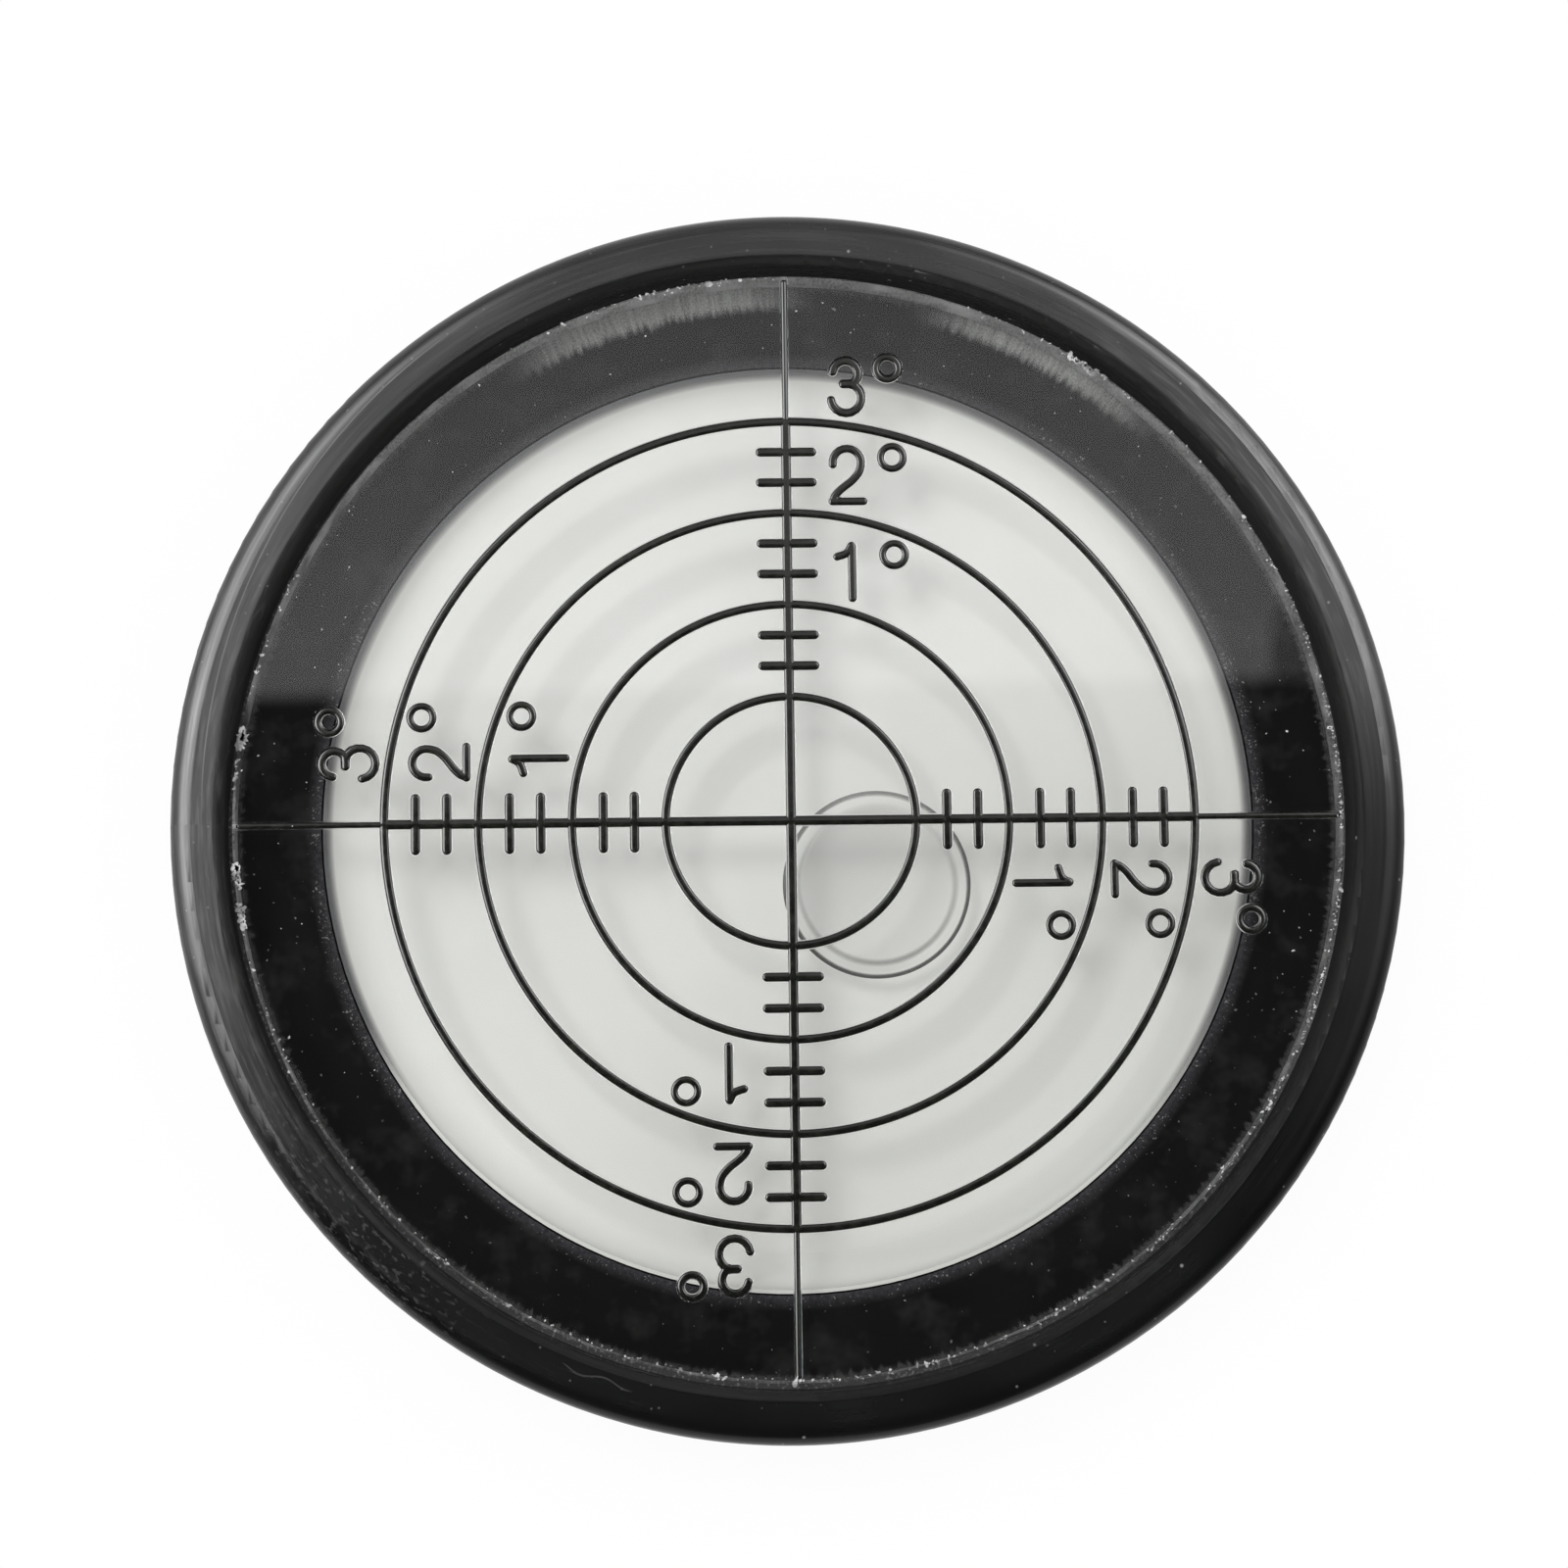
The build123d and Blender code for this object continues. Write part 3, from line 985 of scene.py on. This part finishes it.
# The pieces
lens = build_lens(clear_material("clear_acrylic"), seen_through("acrylic_on_liquid", grey(1)),
                  cemented_face(), ground_edge_painted_glints(), clear_material("engraved_flank", roughness=0.35))
lens.visible_shadow = False
lens.visible_diffuse = False
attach(lens, "root")
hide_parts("lens")

ink = build_ink()
set_material(ink, ink_material())
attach(ink, "root")
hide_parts("reticle_ink")

liquid = build_liquid()
set_material(liquid, seen_through("spirit", (0.995, 1, 0.985, 1)))
liquid.visible_shadow = False
liquid.visible_diffuse = False
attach(liquid, "root")
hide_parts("liquid")

bubble = build_bubble()
set_material(bubble, bubble_material())
bubble.visible_diffuse = False
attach(bubble, "root")

for name, places, thickness, shades in (("ledge_grains", ledge_specks(), 0.012, (0.03, 0.2)),
                                        ("edge_grit", edge_specks(), 0.03, (0.22, 0.75))):
    grains = build_specks(name, places, thickness, seed=5)
    set_material(grains, grain_material(name, *shades))
    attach(grains, "root")

black = black_plastic()
for name, material in (("housing", black), ("filling_plug", black), ("cement_bead", cement_material()),
                       ("backing_disc", white_plastic())):
    set_material(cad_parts[name], material)


# Stage: floor, backdrop, lights and camera
def seen_light(tree):
    """1 for rays that come from the camera, a reflection or through glass, and 0 for the rest."""
    rays = add_node(tree, "LightPath").outputs
    names = ("Is Camera Ray", "Is Glossy Ray", "Is Transmission Ray")
    return largest(*(Value(rays[name]) for name in names))


def build_world():
    """A white studio tent: white where it is seen, and softer as light."""
    world = bpy.data.worlds.new("studio")
    bpy.context.scene.world = world
    world.use_nodes = True
    world.cycles.sampling_method = "NONE"
    tree = world.node_tree
    tree.nodes.clear()
    lit = add_node(tree, "Background", {"Strength": 0.93})
    seen = add_node(tree, "Background", {"Strength": 1.0})
    mix = mix_shaders(seen_light(tree), lit, seen)
    add_node(tree, "OutputWorld", {"Surface": mix.outputs[0]})


def rectangle(name, x_low, y_low, x_high, y_high):
    """A flat rectangle about the origin, in metres."""
    mesh = bpy.data.meshes.new(name)
    corners = [(x_low, y_low, 0), (x_high, y_low, 0), (x_high, y_high, 0), (x_low, y_high, 0)]
    mesh.from_pydata(corners, [], [(0, 1, 2, 3)])
    return new_object(name, mesh)


def build_floor():
    """A plain pale floor that keeps the object's shadow."""
    floor = rectangle("floor", -FLOOR_HALF, -FLOOR_HALF, FLOOR_HALF, FLOOR_HALF)
    floor.location.z = -FLOOR_DROP
    material, tree = new_material("floor")
    away = Place(tree).radius.remap(SHADOW_REACH * 0.8, SHADOW_REACH, 0.95, 1.0)
    paper = add_node(tree, "BsdfDiffuse", {"Color": grey(0.85)})
    surface = mix_shaders(seen_light(tree) * away, paper, add_node(tree, "Emission"))
    set_material(floor, finished(material, surface))
    material.cycles.emission_sampling = "NONE"


def panel(made, shade, sharp=True):
    """Makes a rectangle a studio panel that only reflections see, and only blurred ones if sharp is off.

    shade(tree) gives its brightness.
    """
    material, tree = new_material(made.name)
    surface = add_node(tree, "Emission", {"Strength": shade(tree)})
    if not sharp:
        singular = Value(add_node(tree, "LightPath").outputs["Is Singular Ray"])
        surface = mix_shaders(singular, surface, add_node(tree, "BsdfTransparent"))
    set_material(made, finished(material, surface))
    material.cycles.emission_sampling = "NONE"
    made.visible_camera = False
    made.visible_diffuse = False
    made.visible_transmission = False
    made.visible_shadow = False


def overhead_shade(tree):
    """Bright above an edge and dark below it, with a soft dark patch at the right of the bright part."""
    at = Place(tree)
    slope, soft = 0.01, 0.0024
    above = at.y - (at.x * slope + PANEL_EDGE)
    bright = above.remap(-soft, soft, shape="SMOOTHSTEP")
    patch_x, patch_y, patch_width, patch_height = 0.102, 0.069, 0.0045, 0.0095
    across = (at.x - patch_x) / patch_width
    along = (at.y - patch_y) / patch_height
    off_patch = across * across + along * along
    patch = off_patch.maths("SQRT", off_patch).remap(0.6, 1.3, 0.4, 1.0)
    sky = at.y.remap(0.07, 0.135, 1.5, 0.98)
    return sky * patch * bright + DARK_SHADE


def build_overhead():
    """The panel over the table that the lens mirrors, and the dark room before it."""
    light = rectangle("overhead_panel", -PANEL_HALF, PANEL_START, PANEL_HALF, PANEL_END)
    panel(light, overhead_shade)
    dark = rectangle("dark_panel", -DARK_PANEL_HALF, -DARK_PANEL_HALF, DARK_PANEL_HALF, PANEL_START)
    panel(dark, lambda tree: DARK_SHADE)
    light.location.z = dark.location.z = LENS_TOP * MM + PANEL_HEIGHT


def direction(azimuth, tilt):
    """The way to a light, from +X towards +Y and from the vertical, in degrees."""
    a, t = math.radians(azimuth), math.radians(tilt)
    return Vector((math.cos(a) * math.sin(t), math.sin(a) * math.sin(t), math.cos(t)))


def build_softbox(name, azimuth, tilt, width, height, peak):
    """A soft panel at the side, brightest in its middle, that the lens doesn't mirror.

    It stands one metre away, and width and height are its spread in degrees.
    """
    half_x, half_y = math.radians(height), math.radians(width)

    def shade(tree):
        at = Place(tree)
        x, y = at.x / (half_x / 2), at.y / (half_y / 2)
        power = (x * x + y * y) * -1.0
        return power.maths("POWER", math.e, power) * peak

    made = rectangle(name, -half_x, -half_y, half_x, half_y)
    panel(made, shade, sharp=False)
    way = direction(azimuth, tilt)
    around = Vector((-way.y, way.x, 0)).normalized()
    down = around.cross(way)
    made.matrix_world = Matrix.Translation(way) @ Matrix((down, around, way)).transposed().to_4x4()


def build_key():
    """The key lamp: square and soft, and not mirrored."""
    size, distance, radiance = 0.25, 0.9, 14.0
    data = bpy.data.lights.new("key", "AREA")
    data.shape = "RECTANGLE"
    data.size = data.size_y = size
    data.energy = radiance * math.pi * size * size
    lamp = new_object("key", data)
    way = direction(azimuth=135, tilt=20)
    lamp.location = way * distance
    lamp.rotation_euler = way.to_track_quat("Z", "Y").to_euler()
    lamp.visible_camera = False
    lamp.visible_glossy = False
    lamp.visible_transmission = False


def build_camera():
    """The photograph's own viewpoint."""
    data = bpy.data.cameras.new("camera")
    data.sensor_width = SENSOR
    data.lens = FOCAL_PIXELS / PHOTO_PIXELS * SENSOR
    data.shift_x = -(RETICLE_PIXEL[0] - PHOTO_PIXELS / 2) / PHOTO_PIXELS
    data.shift_y = (RETICLE_PIXEL[1] - PHOTO_PIXELS / 2) / PHOTO_PIXELS
    data.clip_start = 0.001
    camera = new_object("camera", data)
    turn = Matrix.Rotation(-RETICLE_TURN, 3, "Z")
    target = Vector((0, 0, LENS_TOP)) * MM
    offset = turn @ Vector(CAMERA_OFFSET) * MM
    back = offset.normalized()
    right = (turn @ Vector((0, 1, 0))).cross(back).normalized()
    up = back.cross(right)
    facing = Matrix((right, up, back)).transposed().to_4x4()
    camera.matrix_world = Matrix.Translation(target + offset) @ facing
    bpy.context.scene.camera = camera


build_world()
build_floor()
build_overhead()
build_softbox("left_box", azimuth=168, tilt=40, width=64, height=62, peak=16.0)
build_softbox("right_box", azimuth=37, tilt=46, width=42, height=54, peak=12.0)
build_key()
build_camera()
bpy.context.scene.view_settings.view_transform = "Standard"
